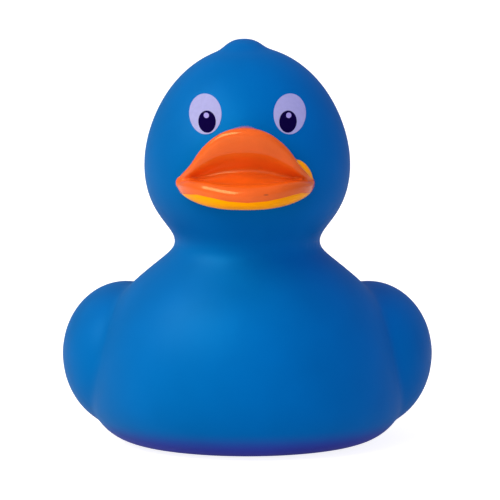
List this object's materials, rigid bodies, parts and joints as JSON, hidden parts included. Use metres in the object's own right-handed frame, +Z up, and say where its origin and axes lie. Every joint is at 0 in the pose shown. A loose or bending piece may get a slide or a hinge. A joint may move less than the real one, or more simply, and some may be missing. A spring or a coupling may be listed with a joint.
{
  "type": "rubber duck",
  "caption": "Hollow soft-vinyl bath duck with a scooped bill, rounded wings, an upturned tail and a squeaker pressed into its flat base.",
  "frame": {"origin": "centre of the bounding box in plan, on the plane of the flat base", "axes": "+Z up from the base to the tuft, -Y the way the duck looks, +X to the duck's left"},
  "size_m": [0.072, 0.0751, 0.0782],
  "materials": {
    "blue_vinyl": "satin moulded vinyl, bill sprayed glossy orange over yellow, eyes printed",
    "white_plastic": "moulded",
    "reed_film": "smooth film"
  },
  "bodies": {
    "root": {"duck_skin": "blue_vinyl", "squeaker_case": "white_plastic", "reed_holder": "white_plastic", "reed": "reed_film"}
  },
  "joints": []
}
